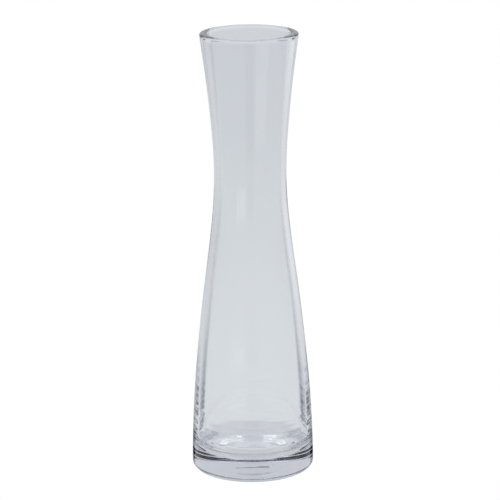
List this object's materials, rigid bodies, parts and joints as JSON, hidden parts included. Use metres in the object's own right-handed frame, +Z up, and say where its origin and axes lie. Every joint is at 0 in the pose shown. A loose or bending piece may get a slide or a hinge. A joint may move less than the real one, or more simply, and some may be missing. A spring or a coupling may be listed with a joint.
{
  "type": "glass bud vase",
  "caption": "Clear glass bud vase: a thick round base tapers to a slim waist, then flares to a plain open rim, to hold cut stems in water.",
  "frame": {"origin": "centre of the foot, on the surface that the vase stands on", "axes": "+Z up along the axis of rotation; X and Y are any two level directions, because the vase is round"},
  "size_m": [0.055, 0.055, 0.2],
  "materials": {
    "clear_glass": "clear polished soda-lime glass with a faint cool grey tint"
  },
  "bodies": {
    "root": {"vase_body": "clear_glass"}
  },
  "joints": []
}
